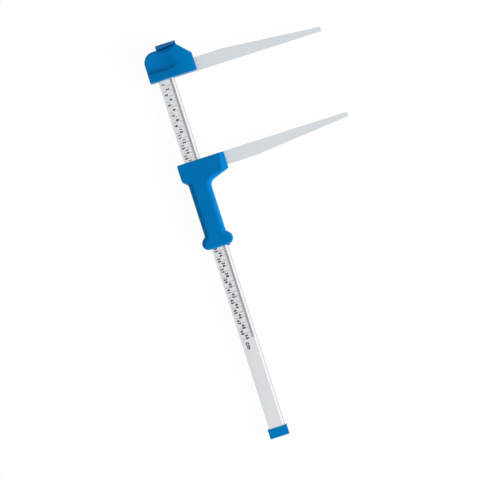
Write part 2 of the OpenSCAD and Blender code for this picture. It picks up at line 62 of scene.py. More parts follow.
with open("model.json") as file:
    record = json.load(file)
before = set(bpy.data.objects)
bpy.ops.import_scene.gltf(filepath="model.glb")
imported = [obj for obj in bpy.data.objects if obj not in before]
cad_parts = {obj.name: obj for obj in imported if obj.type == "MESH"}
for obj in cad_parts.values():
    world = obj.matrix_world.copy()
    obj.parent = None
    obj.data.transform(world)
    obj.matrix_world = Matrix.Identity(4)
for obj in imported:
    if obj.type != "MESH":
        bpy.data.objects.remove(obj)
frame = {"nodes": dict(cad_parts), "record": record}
solid_low, solid_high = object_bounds()
print("solid box in mm:", in_mm(solid_high - solid_low))

# %% [markdown]
# ## Where everything is
# The solid model says where each piece lies, so the main places and sizes are read from it and not
# typed again. Everything on this tool is measured from two lines: the beam's centreline, and the
# measuring plane of a jaw. The head is drawn from the fixed jaw's plane, the handle from the
# sliding jaw's.

# %% Read the main places from the solid model
SAME_PLANE = 0.01 * MM
beam_low, beam_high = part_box("beam")
fixed_low, fixed_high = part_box("fixed_jaw")
sliding_low, sliding_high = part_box("sliding_jaw")
head_low, head_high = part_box("head_front_shell")
handle_low, handle_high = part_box("handle_front_shell")

CENTRE_X = (beam_low.x + beam_high.x) / 2
MID_Z = (beam_low.z + beam_high.z) / 2
HALF_DEPTH = head_high.z - MID_Z
ZERO = Vector((CENTRE_X, fixed_low.y, MID_Z))
SLIDER = Vector((CENTRE_X, sliding_high.y, MID_Z))
BEAM_SIDE = beam_high.x - CENTRE_X
BEAM_HALF_T = beam_high.z - MID_Z
BEAM_FACE = beam_high.z
beam_places = [vertex.co for vertex in frame["nodes"]["beam"].data.vertices]
on_face = [place for place in beam_places if place.z > BEAM_FACE - SAME_PLANE]
on_flank = [place for place in beam_places if place.x > beam_high.x - SAME_PLANE]
FACE_SIDE = max(place.x for place in on_face) - CENTRE_X
FLANK_HALF_T = max(place.z for place in on_flank) - MID_Z
print("jaws are open by", round((ZERO.y - SLIDER.y) / MM, 2), "mm")

# %% [markdown]
# ## The outline of a moulding
# Seen from the front, the head and the handle are straight lines joined by rounded corners, and
# their edges roll over to the face: a tight roll at the ends and a full one along the grip. Such
# a shape could be pulled from a box with a Bevel modifier, but one width would then fit all. Here
# each corner has its own plan radius and its own edge roundness, and a short function walks round
# them. Between two corners the roundness changes gently, as it does in a milled mould.

# %% Walk round a list of rounded corners
ARC_STEP = math.radians(4)
STRETCH = 3 * MM


def corner_arc(corners, i):
    """One rounded corner, as places with their outward direction and edge roundness."""
    x, y, radius, edge = (value * MM for value in corners[i])
    here = Vector((x, y))
    before = Vector(corners[i - 1][:2]) * MM
    after = Vector(corners[(i + 1) % len(corners)][:2]) * MM
    along, onward = (here - before).normalized(), (after - here).normalized()
    turn = math.atan2(along.cross(onward), along.dot(onward))
    outward = Vector((along.y, -along.x))
    bend = math.copysign(radius, turn)
    centre = here - along * radius * math.tan(abs(turn) / 2) - outward * bend
    steps = max(1, math.ceil(abs(turn) / ARC_STEP))
    arc = []
    for k in range(steps + 1):
        normal = Matrix.Rotation(turn * k / steps, 2) @ outward
        arc.append((centre + normal * bend, normal, edge))
    return arc


def walk_outline(corners):
    """All the corners in turn, with points on the straight stretches between them."""
    arcs = [corner_arc(corners, i) for i in range(len(corners))]
    points = []
    for arc, following in zip(arcs, arcs[1:] + arcs[:1]):
        points += arc
        (start, normal, edge), (end, _, end_edge) = arc[-1], following[0]
        spare = int((end - start).length / STRETCH)
        for k in range(1, spare):
            share = k / spare
            ease = share * share * (3 - 2 * share)
            points.append((start.lerp(end, share), normal, edge + (end_edge - edge) * ease))
    return points


# %% [markdown]
# ## Half a moulding
# The plastic parts are made as two shells that meet at mid depth, as the real mouldings are. A
# shell is a stack of rings: one on the parting plane, then rings that roll over the edge, and a
# flat face on top. The roll is a tight turn up from the side, a narrow slope, and a wider turn onto
# the face, which gives the grip its soft streak of light. BMesh builds it from vertices and faces,
# which keeps this rule in plain sight. The rear shell is the front one with its height turned over.

# %% Build one half from rings that roll over the edge
FACET = math.radians(27)
SIDE_TURN, FACET_W, FACE_TURN = 0.55, 0.22, 0.7
SIDE_STEPS, FACE_STEPS = 7, 5


def edge_profile():
    """Inset and rise from the upright wall to the face, as shares of the edge's roundness."""
    profile = []
    for k in range(SIDE_STEPS + 1):
        tilt = math.pi / 2 + (FACET - math.pi / 2) * k / SIDE_STEPS
        profile.append((SIDE_TURN * (1 - math.sin(tilt)), SIDE_TURN * math.cos(tilt)))
    inset = profile[-1][0] + FACET_W * math.cos(FACET)
    rise = profile[-1][1] + FACET_W * math.sin(FACET)
    for k in range(FACE_STEPS + 1):
        tilt = FACET * (1 - k / FACE_STEPS)
        further = FACE_TURN * (math.sin(FACET) - math.sin(tilt))
        profile.append((inset + further, rise + FACE_TURN * (math.cos(tilt) - math.cos(FACET))))
    return profile


def new_piece(name, mesh_data):
    """Turns a BMesh into an object that sits at the origin."""
    bmesh.ops.recalc_face_normals(mesh_data, faces=mesh_data.faces)
    mesh = bpy.data.meshes.new(name)
    mesh_data.to_mesh(mesh)
    mesh_data.free()
    piece = bpy.data.objects.new(name, mesh)
    bpy.context.scene.collection.objects.link(piece)
    return piece


def half_moulding(name, corners, origin, side):
    """A shell's outer form: side is 1 for the front and -1 for the rear."""
    form = bmesh.new()
    points = walk_outline(corners)
    rings = [[form.verts.new((origin.x + p.x, origin.y + p.y, origin.z)) for p, _, _ in points]]
    profile = edge_profile()
    full_rise = profile[-1][1]
    for inset, rise in profile:
        ring = []
        for place, outward, edge in points:
            spot = place - outward * edge * inset
            z = origin.z + side * (HALF_DEPTH - edge * (full_rise - rise))
            ring.append(form.verts.new((origin.x + spot.x, origin.y + spot.y, z)))
        rings.append(ring)
    for lower, upper in zip(rings, rings[1:]):
        for i in range(len(lower)):
            form.faces.new((lower[i - 1], lower[i], upper[i], upper[i - 1]))
    form.faces.new(rings[0])
    form.faces.new(rings[-1])
    return new_piece(name, form)


# %% [markdown]
# ## Cutting and softening
# The shells are hollowed for the beam, the jaws, the guides and the screws. Boolean modifiers cut
# these rooms with simple blocks and drums, as a mould's cores do. A boolean leaves knife-sharp
# edges, which no moulded part has, so a voxel Remesh and a little Smooth follow: they round every
# edge by about half a millimetre, also in the scoop and along the parting line.

# %% Blocks, drums, bars and the cutting itself
DRUM_SIDES = 96
RELAX, RELAX_TIMES = 0.5, 3


def block(low, high):
    """A box between two corners."""
    form = bmesh.new()
    size = Vector(high) - Vector(low)
    place = Matrix.Translation((Vector(high) + Vector(low)) / 2) @ Matrix.Diagonal((*size, 1))
    bmesh.ops.create_cube(form, size=1, matrix=place)
    return new_piece("cutter", form)


def drum(radius, start, end):
    """A cylinder between the middles of its two ends."""
    form = bmesh.new()
    axis = Vector(end) - Vector(start)
    turn = axis.to_track_quat("Z", "Y").to_matrix().to_4x4()
    place = Matrix.Translation((Vector(start) + Vector(end)) / 2) @ turn
    bmesh.ops.create_cone(
        form, cap_ends=True, segments=DRUM_SIDES, radius1=radius, radius2=radius,
        depth=axis.length, matrix=place,
    )
    return new_piece("cutter", form)


def bar(*rings):
    """A bar that passes through rings of places, one after the other."""
    form = bmesh.new()
    sections = [[form.verts.new(place) for place in ring] for ring in rings]
    for here, there in zip(sections, sections[1:]):
        for i in range(len(here)):
            form.faces.new((here[i - 1], here[i], there[i], there[i - 1]))
    form.faces.new(sections[0])
    form.faces.new(sections[-1])
    return new_piece("cutter", form)


def bake_modifiers(piece):
    """Keeps the shape that the modifiers give, as a plain mesh."""
    shaped = piece.evaluated_get(bpy.context.evaluated_depsgraph_get())
    mesh = bpy.data.meshes.new_from_object(shaped)
    piece.modifiers.clear()
    piece.data = mesh


def carve(piece, cutters, operation="DIFFERENCE"):
    """Cuts the cutters away, or joins them on."""
    for cutter in cutters:
        step = piece.modifiers.new("room", "BOOLEAN")
        step.operation = operation
        step.solver = "MANIFOLD"
        step.object = cutter
    bake_modifiers(piece)
    for cutter in cutters:
        bpy.data.objects.remove(cutter)


def soften(piece, voxel):
    """Rounds all edges as a mould does."""
    melt = piece.modifiers.new("melt", "REMESH")
    melt.mode = "VOXEL"
    melt.voxel_size = voxel
    melt.use_smooth_shade = True
    relax = piece.modifiers.new("relax", "SMOOTH")
    relax.factor = RELAX
    relax.iterations = RELAX_TIMES
    bake_modifiers(piece)
    print(piece.name, "has", len(piece.data.polygons), "faces")


# %% [markdown]
# ## The fixed head
# The head has a rounded left shoulder, a crest with a slope on the right, and a wide finger scoop
# across its upper part. Towards the jaw its faces curve down, and a small tab stands on top, where
# the crest rolls over most widely. The scoop is a trough with a steep round lower wall and a floor
# that rises to the crest. Its section is swept across the head: it gets shallower to the left, and
# on the right it lifts in a soft bend and runs out on the face. A row of rings shows this better
# than a stack of balls and drums would.

# %% Sizes of the head
FAR = 0.3  # longer than any cut has to be
SEAT_FIT = 0.1 * MM
HEAD_LEFT = (CENTRE_X - head_low.x) / MM
HEAD_RIGHT = (head_high.x - CENTRE_X) / MM
HEAD_FOOT = (head_low.y - ZERO.y) / MM
HEAD_END_H = 35
END_R, END_EDGE, FOOT_R = 2.4, 2.2, 2.2
CREST_X, CREST_H, CREST_R, CREST_EDGE = 37, 58.6, 3, 4.5
ROLL_X, ROLL_H, ROLL_R, ROLL_EDGE = 10, 57.93, 2, 13.5
SHOULDER_H, SHOULDER_R, SHOULDER_EDGE = 56.8, 21, 6.5
# Each corner has its place, its plan radius and its edge roundness, in millimetres. The roll is a
# corner that hardly turns: it only makes the edge rounder below the tab.
HEAD_CORNERS = [
    (-HEAD_LEFT, HEAD_FOOT, FOOT_R, END_EDGE),
    (HEAD_RIGHT, HEAD_FOOT, END_R, END_EDGE),
    (HEAD_RIGHT, HEAD_END_H, END_R, END_EDGE),
    (CREST_X, CREST_H, CREST_R, CREST_EDGE),
    (ROLL_X, ROLL_H, ROLL_R, ROLL_EDGE),
    (-HEAD_LEFT, SHOULDER_H, SHOULDER_R, SHOULDER_EDGE),
]
SCOOP_D, SCOOP_R, SCOOP_Y = 4.5 * MM, 9 * MM, 25 * MM
SCOOP_BEND_X, SCOOP_BEND, SCOOP_STEPS = -6 * MM, 34 * MM, 16
SCOOP_RUN, SCOOP_RISE, SCOOP_FADE = math.radians(14), math.radians(8), math.radians(3)
FALL_X, FALL, FALL_STEPS = 20 * MM, 6 * MM, 24
TAB_LEFT, TAB_RIGHT = -1.5 * MM, 37 * MM
TAB_ROOT, TAB_TOP = 46.3 * MM, head_high.y - ZERO.y
TAB_TIP_D, TAB_LIP, TAB_EDGE = 17 * MM, 1.6 * MM, 1 * MM
print("head width in mm:", round(HEAD_LEFT + HEAD_RIGHT, 1))
print("head height in mm:", round(TAB_TOP / MM - HEAD_FOOT, 1))


# %% The head's cuts and its tab
def seat_cutter(cutter, origin, side, turn=Matrix.Identity(4)):
    """Turns a cutter and sets it on the front, or mirrored on the back."""
    cutter.data.transform(Matrix.Translation(origin) @ Matrix.Diagonal((1, 1, side, 1)) @ turn)
    if side < 0:
        cutter.data.flip_normals()
    return cutter


def scoop_lift(x):
    """How far the trough has risen at x: slowly to the left, in a soft bend to the right."""
    past = x - SCOOP_BEND_X
    if past < 0:
        return -past * math.tan(SCOOP_FADE)
    bent = past * past / (2 * SCOOP_BEND) if past < SCOOP_BEND else past - SCOOP_BEND / 2
    return bent * math.tan(SCOOP_RUN)


def finger_scoop(side):
    """A trough with a round lower wall and a floor that rises to the crest."""
    outline = []
    for k in range(SCOOP_STEPS + 1):
        turn = -math.pi / 2 + (SCOOP_RISE + math.pi / 2) * k / SCOOP_STEPS
        outline.append((SCOOP_R * math.sin(turn), SCOOP_R * (1 - math.cos(turn))))
    floor_y, floor_z = outline[-1]
    far_y, far_z = floor_y + FAR, floor_z + FAR * math.tan(SCOOP_RISE)
    outline += [(far_y, far_z), (far_y, FAR), (-SCOOP_R, FAR)]
    bend = [SCOOP_BEND_X + SCOOP_BEND * k / SCOOP_STEPS for k in range(SCOOP_STEPS + 1)]
    rings = []
    for x in (-FAR, *bend, HEAD_RIGHT * MM):
        low_z = HALF_DEPTH - SCOOP_D + scoop_lift(x)
        rings.append([(x, SCOOP_Y + y, low_z + z) for y, z in outline])
    return seat_cutter(bar(*rings), ZERO, side)


def falling_cut(side):
    """Everything above a face that curves down to the right, more and more steeply."""
    width = HEAD_RIGHT * MM - FALL_X
    rings = []
    for k in range(-1, FALL_STEPS + 2):
        share = k / FALL_STEPS
        x, z = FALL_X + width * share, HALF_DEPTH - FALL * share * abs(share)
        rings.append([(x, -FAR, z), (x, FAR, z), (x, FAR, FAR), (x, -FAR, FAR)])
    return seat_cutter(bar(*rings), ZERO, side)


def head_tab(side):
    """The tab's plate with its sloping front, and the neck below it."""
    base = CREST_H * MM + TAB_LIP / 2
    profile = [
        (base, 0), (TAB_TOP, 0), (TAB_TOP, TAB_TIP_D / 2),
        (base + TAB_EDGE, HALF_DEPTH), (base, HALF_DEPTH - TAB_EDGE),
    ]
    ends = [[ZERO + Vector((x, y, side * z)) for y, z in profile] for x in (TAB_LEFT, TAB_RIGHT)]
    neck_top = HALF_DEPTH - SCOOP_D - TAB_LIP
    neck = block(
        ZERO + Vector((TAB_LEFT + TAB_LIP, TAB_ROOT, min(0, side * neck_top))),
        ZERO + Vector((TAB_RIGHT, base + TAB_EDGE / 2, max(0, side * neck_top))),
    )
    return [neck, bar(*ends)]


# %% [markdown]
# ## Screw holes in the back
# The rear shells hold the heads of the screws and bolts in deep round holes. Their places are
# those of the screws in the solid model: each screw is a loose island of its mesh, so the islands
# are found and measured, and a drum is cut from the back up to the seat of each head.

# %% Find each screw of a solid piece
MERGE = 0.001 * MM
HEAD_ROOM = 0.3 * MM
BELOW_TABLE = -10 * MM


def islands(node):
    """The loose parts of a solid piece from left to right, as pairs of low and high corners."""
    shape = bmesh.new()
    shape.from_mesh(frame["nodes"][node].data)
    bmesh.ops.remove_doubles(shape, verts=shape.verts, dist=MERGE)
    unseen, boxes = set(shape.verts), []
    while unseen:
        reached, front = set(), [unseen.pop()]
        while front:
            vert = front.pop()
            reached.add(vert)
            for edge in vert.link_edges:
                other = edge.other_vert(vert)
                if other in unseen:
                    unseen.remove(other)
                    front.append(other)
        axes = [[vert.co[axis] for vert in reached] for axis in range(3)]
        boxes.append((Vector(map(min, axes)), Vector(map(max, axes))))
    shape.free()
    return sorted(boxes, key=lambda box: tuple(box[0]))


def head_holes(node, head_height):
    """A counterbore from the back for every screw of a solid piece."""
    holes = []
    for low, high in islands(node):
        middle = (low + high) / 2
        radius = (high.x - low.x) / 2 + HEAD_ROOM
        seat = Vector((middle.x, middle.y, low.z + head_height))
        holes.append(drum(radius, (middle.x, middle.y, BELOW_TABLE), seat))
    return holes


for fastener in ("head_screws", "fixed_jaw_bolts", "handle_screws", "sliding_jaw_bolts"):
    print(fastener, "has", len(islands(fastener)), "screws")


# %% Make the two head shells
SCREW_HEAD, BOLT_HEAD = 2.4 * MM, 3 * MM
HEAD_VOXEL = 0.5 * MM


def beam_room(low_y, high_y, fit):
    """The passage for the beam, with its bevels."""
    bevel = math.atan2(BEAM_HALF_T - FLANK_HALF_T, BEAM_SIDE - FACE_SIDE)
    face = (FACE_SIDE + fit * math.tan(bevel / 2), BEAM_HALF_T + fit)
    flank = (BEAM_SIDE + fit, FLANK_HALF_T + fit * math.tan((math.pi / 2 - bevel) / 2))
    quarter = [flank, face]
    outline = quarter + [(-x, z) for x, z in reversed(quarter)]
    outline += [(-x, -z) for x, z in quarter] + [(x, -z) for x, z in reversed(quarter)]
    return bar(
        [(CENTRE_X + x, low_y, MID_Z + z) for x, z in outline],
        [(CENTRE_X + x, high_y, MID_Z + z) for x, z in outline],
    )


def tang_room(low, high):
    """The slot that a jaw's tang sits in, open to the right."""
    fit = Vector((SEAT_FIT,) * 3)
    return block(low - fit, Vector((low.x + FAR, high.y, high.z)) + fit)


def make_head_shell(name, side):
    """One half of the head: its form, its cuts, its tab and its rooms."""
    shell = half_moulding(name, HEAD_CORNERS, ZERO, side)
    carve(shell, [finger_scoop(side), falling_cut(side)])
    carve(shell, head_tab(side), "UNION")
    rooms = [
        beam_room(ZERO.y - FAR, beam_high.y + SEAT_FIT, SEAT_FIT),
        tang_room(fixed_low, fixed_high),
    ]
    if side < 0:
        rooms += head_holes("head_screws", SCREW_HEAD)
        rooms += head_holes("fixed_jaw_bolts", BOLT_HEAD)
    carve(shell, rooms)
    soften(shell, HEAD_VOXEL)
    return shell


head_front = make_head_shell("head_front_moulding", 1)
head_rear = make_head_shell("head_rear_moulding", -1)

# %% [markdown]
# ## The sliding handle
# The handle is one outline from its measuring plane down to the flange: a block that holds the
# jaw, a waist, a grip with fully rolled edges and a flange that keeps the hand from slipping off.
# The block's right end is bevelled. Inside are rooms for two guide shoes and two pads.

# %% Sizes of the handle
HANDLE_LEN = (SLIDER.y - handle_low.y) / MM
RUN_FIT = 0.25 * MM
GRIP_SIDE, GRIP_EDGE, NOTCH_R = 20.5, 12, 4.5
FLANGE_SIDE, FLANGE_R, FLANGE_EDGE, FLANGE_FLAT, FOOT_EDGE = 29.5, 12, 10.5, 0.25, 6
FLANGE_Y = -HANDLE_LEN + FLANGE_FLAT + FLANGE_R * (1 + math.tan(math.pi / 8))
FLANGE_NOTCH_Y = FLANGE_Y + FLANGE_SIDE - GRIP_SIDE
SLIDER_LEFT = (CENTRE_X - handle_low.x) / MM
SLIDER_RIGHT = (handle_high.x - CENTRE_X) / MM
SLIDER_TOP, SLIDER_R = (handle_high.y - SLIDER.y) / MM, 3.2
BUMP_Y, BUMP_FALL, BUMP_R, BUMP_EDGE = -33.3, 8, 9, 3.2
ARM_Y, THROAT_Y, THROAT_R = -32.2, -46.5, 15
HANDLE_CORNERS = [
    (-SLIDER_LEFT, SLIDER_TOP, SLIDER_R, END_EDGE),
    (-SLIDER_LEFT, BUMP_Y, BUMP_R, BUMP_EDGE),
    (-GRIP_SIDE, BUMP_Y - BUMP_FALL, NOTCH_R, GRIP_EDGE),
    (-GRIP_SIDE, FLANGE_NOTCH_Y, NOTCH_R, GRIP_EDGE),
    (-FLANGE_SIDE, FLANGE_Y, FLANGE_R, FLANGE_EDGE),
    (-FLANGE_SIDE, -HANDLE_LEN, FLANGE_R, FOOT_EDGE),
    (FLANGE_SIDE, -HANDLE_LEN, FLANGE_R, FOOT_EDGE),
    (FLANGE_SIDE, FLANGE_Y, FLANGE_R, FLANGE_EDGE),
    (GRIP_SIDE, FLANGE_NOTCH_Y, NOTCH_R, GRIP_EDGE),
    (GRIP_SIDE, THROAT_Y, THROAT_R, GRIP_EDGE),
    (SLIDER_RIGHT, ARM_Y, END_R, END_EDGE),
    (SLIDER_RIGHT, SLIDER_TOP, END_R, END_EDGE),
]
BEVEL_W, BEVEL_TILT, BEVEL_SKEW = 7.8, math.radians(27), math.radians(-10)
print("handle length in mm:", round(HANDLE_LEN, 1))

# %% The bevel and the rooms for the guides
BEVEL_LEAD = 1 * MM


def end_bevel(side):
    """Everything beyond a plane that falls to the right from a line on the face."""
    hinge = SLIDER + Vector(((SLIDER_RIGHT - BEVEL_W) * MM, 0, side * HALF_DEPTH))
    turn = Matrix.Rotation(BEVEL_SKEW, 4, "Z") @ Matrix.Rotation(BEVEL_TILT, 4, "Y")
    return seat_cutter(block((-BEVEL_LEAD, -FAR, 0), (FAR, FAR, FAR)), hinge, side, turn)


def guide_room(node, fit, outward=0.0):
    """A pocket round a guide, from the passage outwards; outward adds room for its travel."""
    rooms = []
    for low, high in islands(node):
        reach = max(abs(low.x - CENTRE_X), abs(high.x - CENTRE_X)) + fit + outward
        side = 1 if low.x > CENTRE_X else -1
        left, right = sorted((CENTRE_X, CENTRE_X + side * reach))
        near = (left, low.y - fit, low.z - fit)
        far = (right, high.y + fit, high.z + fit)
        rooms.append(block(near, far))
    return rooms


def adjuster_room(node):
    """The bore that an adjusting screw turns in, open to the outside."""
    low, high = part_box(node)
    middle = (low + high) / 2
    side = 1 if middle.x > CENTRE_X else -1
    radius = (high.z - low.z) / 2 + HEAD_ROOM
    inner = Vector((CENTRE_X, middle.y, middle.z))
    outer = Vector((CENTRE_X + side * FAR, middle.y, middle.z))
    return drum(radius, inner, outer)


# %% Make the two handle shells
SHOE_ROOM = 0.55 * MM
HANDLE_VOXEL = 0.65 * MM


def make_handle_shell(name, side):
    """One half of the handle: its form, its bevel and its rooms."""
    shell = half_moulding(name, HANDLE_CORNERS, SLIDER, side)
    rooms = [
        end_bevel(side),
        beam_room(SLIDER.y - FAR, SLIDER.y + FAR, RUN_FIT),
        tang_room(sliding_low, sliding_high),
        adjuster_room("upper_adjuster"),
        adjuster_room("lower_adjuster"),
    ]
    rooms += guide_room("glide_pads", SEAT_FIT)
    for shoe in ("upper_shoe", "lower_shoe"):
        rooms += guide_room(shoe, SEAT_FIT, SHOE_ROOM)
    if side < 0:
        rooms += head_holes("handle_screws", SCREW_HEAD)
        rooms += head_holes("sliding_jaw_bolts", BOLT_HEAD)
    carve(shell, rooms)
    soften(shell, HANDLE_VOXEL)
    return shell


handle_front = make_handle_shell("handle_front_moulding", 1)
handle_rear = make_handle_shell("handle_rear_moulding", -1)

# %% [markdown]
# ## The printed scale
# The beam's face carries a black print: millimetre strokes along the right edge, longer every
# five and every ten, thin lines across the face at each centimetre, and the numbers from 1 to 50.
# A texture could show it, but it would blur up close. Strokes that repeat are a task for Geometry
# Nodes: one tree lays a row of small flat bars, and its inputs say how many, how long and where.

# %% A node tree that lays a row of strokes
INK_T = 0.05 * MM


def stroke_row_tree():
    """A row of strokes along the beam; each ends at Start and runs to the left."""
    tree = bpy.data.node_groups.new("stroke_row", "GeometryNodeTree")
    sockets = tree.interface
    for name, kind in (
        ("Start", "NodeSocketVector"),
        ("Count", "NodeSocketInt"),
        ("Pitch", "NodeSocketFloat"),
        ("Length", "NodeSocketFloat"),
        ("Half Extra", "NodeSocketFloat"),
        ("Whole Extra", "NodeSocketFloat"),
        ("Width", "NodeSocketFloat"),
        ("Height", "NodeSocketFloat"),
        ("Ink", "NodeSocketMaterial"),
    ):
        sockets.new_socket(name, in_out="INPUT", socket_type=kind)
    sockets.new_socket("Strokes", in_out="OUTPUT", socket_type="NodeSocketGeometry")
    nodes, links = tree.nodes, tree.links
    inputs = nodes.new("NodeGroupInput").outputs

    def number(operation, first, second):
        """One sum, with links or plain numbers."""
        step = nodes.new("ShaderNodeMath")
        step.operation = operation
        for socket, value in zip(step.inputs, (first, second)):
            if isinstance(value, (int, float)):
                socket.default_value = value
            else:
                links.new(value, socket)
        return step.outputs[0]

    offset = nodes.new("ShaderNodeCombineXYZ")
    links.new(number("MULTIPLY", inputs["Pitch"], -1), offset.inputs["Y"])
    row = nodes.new("GeometryNodeMeshLine")
    links.new(inputs["Count"], row.inputs["Count"])
    links.new(inputs["Start"], row.inputs["Start Location"])
    links.new(offset.outputs[0], row.inputs["Offset"])

    index = nodes.new("GeometryNodeInputIndex").outputs[0]
    is_half = number("COMPARE", number("MODULO", index, 5), 0)
    is_whole = number("COMPARE", number("MODULO", index, 10), 0)
    half_part = number("MULTIPLY", is_half, inputs["Half Extra"])
    whole_part = number("MULTIPLY", is_whole, inputs["Whole Extra"])
    longer = number("ADD", half_part, whole_part)
    size = nodes.new("ShaderNodeCombineXYZ")
    links.new(number("ADD", inputs["Length"], longer), size.inputs["X"])
    links.new(inputs["Width"], size.inputs["Y"])
    links.new(inputs["Height"], size.inputs["Z"])

    stroke = nodes.new("GeometryNodeMeshCube")
    stroke.inputs["Size"].default_value = (1, 1, 1)
    shifted = nodes.new("GeometryNodeTransform")
    shifted.inputs["Translation"].default_value = (-0.5, 0, 0)
    links.new(stroke.outputs["Mesh"], shifted.inputs["Geometry"])

    laid = nodes.new("GeometryNodeInstanceOnPoints")
    links.new(row.outputs["Mesh"], laid.inputs["Points"])
    links.new(shifted.outputs["Geometry"], laid.inputs["Instance"])
    links.new(size.outputs[0], laid.inputs["Scale"])
    real = nodes.new("GeometryNodeRealizeInstances")
    links.new(laid.outputs["Instances"], real.inputs["Geometry"])
    inked = nodes.new("GeometryNodeSetMaterial")
    links.new(real.outputs["Geometry"], inked.inputs["Geometry"])
    links.new(inputs["Ink"], inked.inputs["Material"])
    links.new(inked.outputs["Geometry"], nodes.new("NodeGroupOutput").inputs["Strokes"])
    return tree


stroke_tree = stroke_row_tree()
scale_ink = bpy.data.materials.new("scale_ink")
print("stroke tree has", len(stroke_tree.nodes), "nodes")

# %% [markdown]
# Four rows use the tree: the millimetre strokes, and the thin centimetre lines. Odd numbers stand
# at the left of the face and even ones in the middle, each a little above its line. So the lines of
# odd centimetres start right of the number, and those of even centimetres are broken by it.

# %% Lay the strokes of the scale
SCALE_CM = 50
CM = 10 * MM
STRIP_LEFT, STRIP_RIGHT = 6.3 * MM, 10.4 * MM
HALF_EXTRA, WHOLE_EXTRA = 1.2 * MM, 1 * MM
STROKE_W = 0.5 * MM
LINE_LEFT = -13 * MM
DIGIT_H, DIGIT_GAP = 6.2 * MM, 0.7 * MM
ODD_X, EVEN_X = -8.6 * MM, -2.7 * MM


def lay_strokes(name, start_x, start_cm, count, pitch, length, half_extra=0.0, whole_extra=0.0):
    """One row of strokes, kept as a plain mesh."""
    row = bpy.data.objects.new(name, bpy.data.meshes.new(name))
    bpy.context.scene.collection.objects.link(row)
    step = row.modifiers.new("strokes", "NODES")
    step.node_group = stroke_tree
    values = {
        "Start": (CENTRE_X + start_x, ZERO.y - start_cm * CM, BEAM_FACE),
        "Count": count,
        "Pitch": pitch,
        "Length": length,
        "Half Extra": half_extra,
        "Whole Extra": whole_extra,
        "Width": STROKE_W,
        "Height": 2 * INK_T,
        "Ink": scale_ink,
    }
    for socket in stroke_tree.interface.items_tree:
        if socket.in_out == "INPUT":
            step[socket.identifier] = values[socket.name]
    bake_modifiers(row)
    print(name, "has", len(row.data.polygons) // 6, "strokes")
    return row


half_number = DIGIT_H / 2 + DIGIT_GAP
odd_line = STRIP_LEFT - (ODD_X + half_number)
even_line = STRIP_LEFT - (EVEN_X + half_number)
dash_right = EVEN_X - half_number
pairs = SCALE_CM // 2
scale_strokes = [
    lay_strokes(
        "scale_millimetres", STRIP_RIGHT, 0, SCALE_CM * 10 + 1, MM, STRIP_RIGHT - STRIP_LEFT,
        HALF_EXTRA, WHOLE_EXTRA,
    ),
    lay_strokes("scale_odd_lines", STRIP_LEFT, 1, pairs, 2 * CM, odd_line),
    lay_strokes("scale_even_lines", STRIP_LEFT, 2, pairs, 2 * CM, even_line),
    lay_strokes("scale_even_dashes", dash_right, 2, pairs, 2 * CM, dash_right - LINE_LEFT),
]

# %% [markdown]
# ## The scale's numbers
# The numbers read downwards along the beam, with their tops to the right. Blender's own font is
# made bold by pushing its curves outwards, given the thickness of the ink, and turned into a mesh.
# Each digit is made once, and the 9 is the 6 turned over. The meshes are then set side by side and
# joined into one piece. The numbers at the left reach past the flat face, so the print is cut there
# and bent onto the bevel.

# %% Make the digits and set the numbers
DIGIT_ADVANCE = 4.9 * MM
NUMBER_RISE = {1: 3.6 * MM, 2: 2.9 * MM}  # by the number's count of digits
NUMBER_BOLD, UNIT_BOLD = 0.05, 0.04
TRACKING, CURVE_STEPS, FONT_T = 1.12, 3, 0.01
UNIT_X, UNIT_Y, UNIT_H = -5.5 * MM, -513.8 * MM, 5.8 * MM
READ_DOWN = Matrix.Rotation(-math.pi / 2, 4, "Z")


def font_mesh(text, bold):
    """Some text in Blender's font at its own size, as a flat bold mesh."""
    curve = bpy.data.curves.new("lettering", "FONT")
    curve.body = text
    curve.align_x = "CENTER"
    curve.offset = bold
    curve.space_character = TRACKING
    curve.extrude = FONT_T
    curve.resolution_u = CURVE_STEPS
    writing = bpy.data.objects.new("lettering", curve)
    bpy.context.scene.collection.objects.link(writing)
    bpy.context.view_layer.update()
    shaped = writing.evaluated_get(bpy.context.evaluated_depsgraph_get())
    mesh = bpy.data.meshes.new_from_object(shaped)
    bpy.data.objects.remove(writing)
    return mesh


def lettering_mesh(text, height_of, height, bold):
    """Some text, scaled so that height_of would be that high, and centred on it."""
    ys = [vertex.co.y for vertex in font_mesh(height_of, bold).vertices]
    low, high = min(ys), max(ys)
    scale = height / (high - low)
    mesh = font_mesh(text, bold)
    centred = Matrix.Translation((0, -(low + high) / 2, 0))
    mesh.transform(Matrix.Diagonal((scale, scale, INK_T / FONT_T, 1)) @ centred)
    return mesh


digits = {d: lettering_mesh(d, "0", DIGIT_H, NUMBER_BOLD) for d in "012345678"}
digits["9"] = digits["6"].copy()
digits["9"].transform(Matrix.Rotation(math.pi, 4, "Z"))
numbers = bmesh.new()
for cm in range(1, SCALE_CM + 1):
    text = str(cm)
    x = CENTRE_X + (ODD_X if cm % 2 else EVEN_X)
    middle_y = ZERO.y - cm * CM + NUMBER_RISE[len(text)]
    for k, digit in enumerate(text):
        along = (k - (len(text) - 1) / 2) * DIGIT_ADVANCE
        place = Vector((x, middle_y - along, BEAM_FACE))
        copy = digits[digit].copy()
        copy.transform(Matrix.Translation(place) @ READ_DOWN)
        numbers.from_mesh(copy)
        bpy.data.meshes.remove(copy)
bmesh.ops.remove_doubles(numbers, verts=numbers.verts, dist=MERGE)
scale_numbers = new_piece("scale_numbers", numbers)


